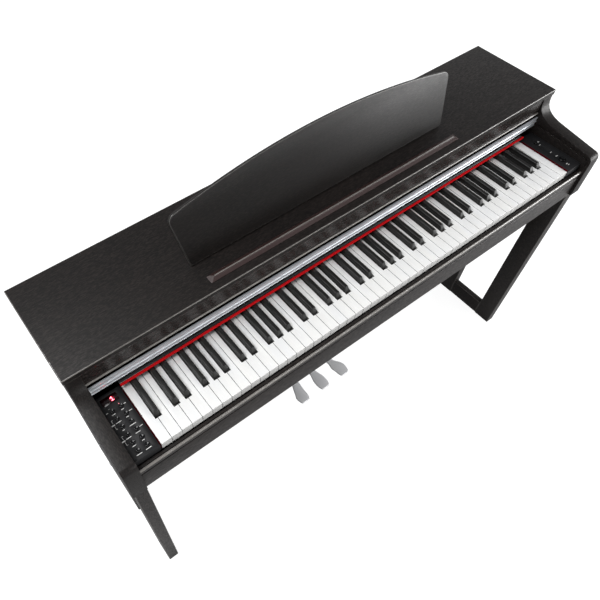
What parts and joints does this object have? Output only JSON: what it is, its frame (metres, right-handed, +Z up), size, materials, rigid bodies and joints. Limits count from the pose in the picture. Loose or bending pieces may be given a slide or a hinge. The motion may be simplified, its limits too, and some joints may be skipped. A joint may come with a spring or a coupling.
{
  "type": "digital piano on stand",
  "caption": "Upright digital piano on a wooden stand with sliding key cover, tilting music rest, control panels beside the keys and a three-pedal box.",
  "frame": {"origin": "middle of the footprint on the floor", "axes": "+X to the player's right along the keyboard, +Y from the player to the back, +Z up"},
  "size_m": [1.4126, 0.4386, 1.006],
  "materials": {
    "dark_rosewood_laminate": "satin dark brown wood-grain laminate",
    "red_brown_trim": "semi-gloss red-brown trim",
    "ivory_key_plastic": "smooth white key plastic",
    "black_key_plastic": "satin black key plastic",
    "panel_plastic": "satin black moulded plastic",
    "display_window": "dark red smoked window",
    "fluted_aluminium": "bright fluted anodised metal",
    "plain_steel": "plated steel",
    "satin_pedal_metal": "satin plated metal",
    "red_felt": "red wool felt",
    "circuit_board": "green solder mask",
    "speaker_black": "black coated paper and steel"
  },
  "bodies": {
    "case": {"top_panel": "dark_rosewood_laminate", "back_panel": "dark_rosewood_laminate", "key_bed": "dark_rosewood_laminate", "left_arm": "dark_rosewood_laminate", "right_arm": "dark_rosewood_laminate", "left_front_leg": "dark_rosewood_laminate", "right_front_leg": "dark_rosewood_laminate", "left_runner": "dark_rosewood_laminate", "right_runner": "dark_rosewood_laminate", "left_rear_panel": "dark_rosewood_laminate", "right_rear_panel": "dark_rosewood_laminate", "apron": "dark_rosewood_laminate", "key_slip": "dark_rosewood_laminate", "fascia": "dark_rosewood_laminate", "left_control_panel": "panel_plastic", "right_control_panel": "panel_plastic", "display_window": "display_window", "key_stop_rail": "red_felt", "key_frame": "plain_steel", "music_ledge": "red_brown_trim", "rest_hinge": "plain_steel", "stand_back_board": "dark_rosewood_laminate", "pedal_box": "panel_plastic", "left_speaker": "speaker_black", "right_speaker": "speaker_black", "main_board": "circuit_board", "power_inlet": "panel_plastic"},
    "white_keys_c": {"white_keys_c": "ivory_key_plastic"},
    "white_keys_d": {"white_keys_d": "ivory_key_plastic"},
    "white_keys_e": {"white_keys_e": "ivory_key_plastic"},
    "white_keys_f": {"white_keys_f": "ivory_key_plastic"},
    "white_keys_g": {"white_keys_g": "ivory_key_plastic"},
    "white_keys_a": {"white_keys_a": "ivory_key_plastic"},
    "white_keys_b": {"white_keys_b": "ivory_key_plastic"},
    "black_keys_c_sharp": {"black_keys_c_sharp": "black_key_plastic"},
    "black_keys_d_sharp": {"black_keys_d_sharp": "black_key_plastic"},
    "black_keys_f_sharp": {"black_keys_f_sharp": "black_key_plastic"},
    "black_keys_g_sharp": {"black_keys_g_sharp": "black_key_plastic"},
    "black_keys_a_sharp": {"black_keys_a_sharp": "black_key_plastic"},
    "left_button_1": {"left_button_1": "panel_plastic"},
    "left_button_2": {"left_button_2": "panel_plastic"},
    "left_button_3": {"left_button_3": "panel_plastic"},
    "left_button_4": {"left_button_4": "panel_plastic"},
    "left_button_5": {"left_button_5": "panel_plastic"},
    "left_button_6": {"left_button_6": "panel_plastic"},
    "left_button_7": {"left_button_7": "panel_plastic"},
    "left_button_8": {"left_button_8": "panel_plastic"},
    "left_button_9": {"left_button_9": "panel_plastic"},
    "left_button_10": {"left_button_10": "panel_plastic"},
    "left_button_11": {"left_button_11": "panel_plastic"},
    "left_button_12": {"left_button_12": "panel_plastic"},
    "power_button": {"power_button": "panel_plastic"},
    "key_cover": {"key_cover": "dark_rosewood_laminate", "cover_rail": "fluted_aluminium"},
    "music_rest": {"music_rest": "dark_rosewood_laminate"},
    "soft_pedal": {"soft_pedal": "satin_pedal_metal"},
    "sostenuto_pedal": {"sostenuto_pedal": "satin_pedal_metal"},
    "sustain_pedal": {"sustain_pedal": "satin_pedal_metal"},
    "pedal_box_foot": {"pedal_box_foot": "panel_plastic"},
    "volume_knob": {"volume_knob": "panel_plastic"}
  },
  "joints": [
    {"name": "white_keys_c_press", "type": "hinge", "parent": "case", "child": "white_keys_c", "pos_m": [0, 0.0527, 0.7266], "axis": [1, 0, 0], "range_deg": [0, 2.29], "stiffness_Nm_per_rad": 10, "springref_deg": -14.32},
    {"name": "white_keys_d_press", "type": "hinge", "parent": "case", "child": "white_keys_d", "pos_m": [0, 0.0527, 0.7266], "axis": [1, 0, 0], "range_deg": [0, 2.29], "stiffness_Nm_per_rad": 10, "springref_deg": -14.32},
    {"name": "white_keys_e_press", "type": "hinge", "parent": "case", "child": "white_keys_e", "pos_m": [0, 0.0527, 0.7266], "axis": [1, 0, 0], "range_deg": [0, 2.29], "stiffness_Nm_per_rad": 10, "springref_deg": -14.32},
    {"name": "white_keys_f_press", "type": "hinge", "parent": "case", "child": "white_keys_f", "pos_m": [0, 0.0527, 0.7266], "axis": [1, 0, 0], "range_deg": [0, 2.29], "stiffness_Nm_per_rad": 10, "springref_deg": -14.32},
    {"name": "white_keys_g_press", "type": "hinge", "parent": "case", "child": "white_keys_g", "pos_m": [0, 0.0527, 0.7266], "axis": [1, 0, 0], "range_deg": [0, 2.29], "stiffness_Nm_per_rad": 10, "springref_deg": -14.32},
    {"name": "white_keys_a_press", "type": "hinge", "parent": "case", "child": "white_keys_a", "pos_m": [0, 0.0527, 0.7266], "axis": [1, 0, 0], "range_deg": [0, 2.29], "stiffness_Nm_per_rad": 10, "springref_deg": -14.32},
    {"name": "white_keys_b_press", "type": "hinge", "parent": "case", "child": "white_keys_b", "pos_m": [0, 0.0527, 0.7266], "axis": [1, 0, 0], "range_deg": [0, 2.29], "stiffness_Nm_per_rad": 10, "springref_deg": -14.32},
    {"name": "black_keys_c_sharp_press", "type": "hinge", "parent": "case", "child": "black_keys_c_sharp", "pos_m": [0, 0.0527, 0.7266], "axis": [1, 0, 0], "range_deg": [0, 2.29], "stiffness_Nm_per_rad": 10, "springref_deg": -14.32},
    {"name": "black_keys_d_sharp_press", "type": "hinge", "parent": "case", "child": "black_keys_d_sharp", "pos_m": [0, 0.0527, 0.7266], "axis": [1, 0, 0], "range_deg": [0, 2.29], "stiffness_Nm_per_rad": 10, "springref_deg": -14.32},
    {"name": "black_keys_f_sharp_press", "type": "hinge", "parent": "case", "child": "black_keys_f_sharp", "pos_m": [0, 0.0527, 0.7266], "axis": [1, 0, 0], "range_deg": [0, 2.29], "stiffness_Nm_per_rad": 10, "springref_deg": -14.32},
    {"name": "black_keys_g_sharp_press", "type": "hinge", "parent": "case", "child": "black_keys_g_sharp", "pos_m": [0, 0.0527, 0.7266], "axis": [1, 0, 0], "range_deg": [0, 2.29], "stiffness_Nm_per_rad": 10, "springref_deg": -14.32},
    {"name": "black_keys_a_sharp_press", "type": "hinge", "parent": "case", "child": "black_keys_a_sharp", "pos_m": [0, 0.0527, 0.7266], "axis": [1, 0, 0], "range_deg": [0, 2.29], "stiffness_Nm_per_rad": 10, "springref_deg": -14.32},
    {"name": "left_button_1_press", "type": "slide", "parent": "case", "child": "left_button_1", "axis": [0, 0, -1], "range_m": [0, 0.0015], "stiffness_N_per_m": 300, "springref_m": -0.003},
    {"name": "left_button_2_press", "type": "slide", "parent": "case", "child": "left_button_2", "axis": [0, 0, -1], "range_m": [0, 0.0015], "stiffness_N_per_m": 300, "springref_m": -0.003},
    {"name": "left_button_3_press", "type": "slide", "parent": "case", "child": "left_button_3", "axis": [0, 0, -1], "range_m": [0, 0.0015], "stiffness_N_per_m": 300, "springref_m": -0.003},
    {"name": "left_button_4_press", "type": "slide", "parent": "case", "child": "left_button_4", "axis": [0, 0, -1], "range_m": [0, 0.0015], "stiffness_N_per_m": 300, "springref_m": -0.003},
    {"name": "left_button_5_press", "type": "slide", "parent": "case", "child": "left_button_5", "axis": [0, 0, -1], "range_m": [0, 0.0015], "stiffness_N_per_m": 300, "springref_m": -0.003},
    {"name": "left_button_6_press", "type": "slide", "parent": "case", "child": "left_button_6", "axis": [0, 0, -1], "range_m": [0, 0.0015], "stiffness_N_per_m": 300, "springref_m": -0.003},
    {"name": "left_button_7_press", "type": "slide", "parent": "case", "child": "left_button_7", "axis": [0, 0, -1], "range_m": [0, 0.0015], "stiffness_N_per_m": 300, "springref_m": -0.003},
    {"name": "left_button_8_press", "type": "slide", "parent": "case", "child": "left_button_8", "axis": [0, 0, -1], "range_m": [0, 0.0015], "stiffness_N_per_m": 300, "springref_m": -0.003},
    {"name": "left_button_9_press", "type": "slide", "parent": "case", "child": "left_button_9", "axis": [0, 0, -1], "range_m": [0, 0.0015], "stiffness_N_per_m": 300, "springref_m": -0.003},
    {"name": "left_button_10_press", "type": "slide", "parent": "case", "child": "left_button_10", "axis": [0, 0, -1], "range_m": [0, 0.0015], "stiffness_N_per_m": 300, "springref_m": -0.003},
    {"name": "left_button_11_press", "type": "slide", "parent": "case", "child": "left_button_11", "axis": [0, 0, -1], "range_m": [0, 0.0015], "stiffness_N_per_m": 300, "springref_m": -0.003},
    {"name": "left_button_12_press", "type": "slide", "parent": "case", "child": "left_button_12", "axis": [0, 0, -1], "range_m": [0, 0.0015], "stiffness_N_per_m": 300, "springref_m": -0.003},
    {"name": "power_button_press", "type": "slide", "parent": "case", "child": "power_button", "axis": [0, 0, -1], "range_m": [0, 0.0015], "stiffness_N_per_m": 300, "springref_m": -0.003},
    {"name": "key_cover_slide", "type": "slide", "parent": "case", "child": "key_cover", "axis": [0, -0.9987, -0.0506], "range_m": [0, 0.163]},
    {"name": "music_rest_fold", "type": "hinge", "parent": "case", "child": "music_rest", "pos_m": [0, 0.05221, 0.8474], "axis": [-1, 0, 0], "range_deg": [0, 73.5]},
    {"name": "soft_pedal_press", "type": "hinge", "parent": "case", "child": "soft_pedal", "pos_m": [-0.0725, 0.0727, 0.0651], "axis": [1, 0, 0], "range_deg": [0, 5.5], "stiffness_Nm_per_rad": 12, "springref_deg": -6.88},
    {"name": "sostenuto_pedal_press", "type": "hinge", "parent": "case", "child": "sostenuto_pedal", "pos_m": [0, 0.0727, 0.0651], "axis": [1, 0, 0], "range_deg": [0, 5.5], "stiffness_Nm_per_rad": 12, "springref_deg": -6.88},
    {"name": "sustain_pedal_press", "type": "hinge", "parent": "case", "child": "sustain_pedal", "pos_m": [0.0725, 0.0727, 0.0651], "axis": [1, 0, 0], "range_deg": [0, 5.5], "stiffness_Nm_per_rad": 12, "springref_deg": -6.88},
    {"name": "pedal_box_foot_screw", "type": "slide", "parent": "case", "child": "pedal_box_foot", "axis": [0, 0, 1], "range_m": [0, 0.01]},
    {"name": "volume_knob_turn", "type": "hinge", "parent": "case", "child": "volume_knob", "pos_m": [0.6422, -0.1603, 0.7306], "axis": [0, 0, 1], "range_deg": [-150, 150]}
  ]
}
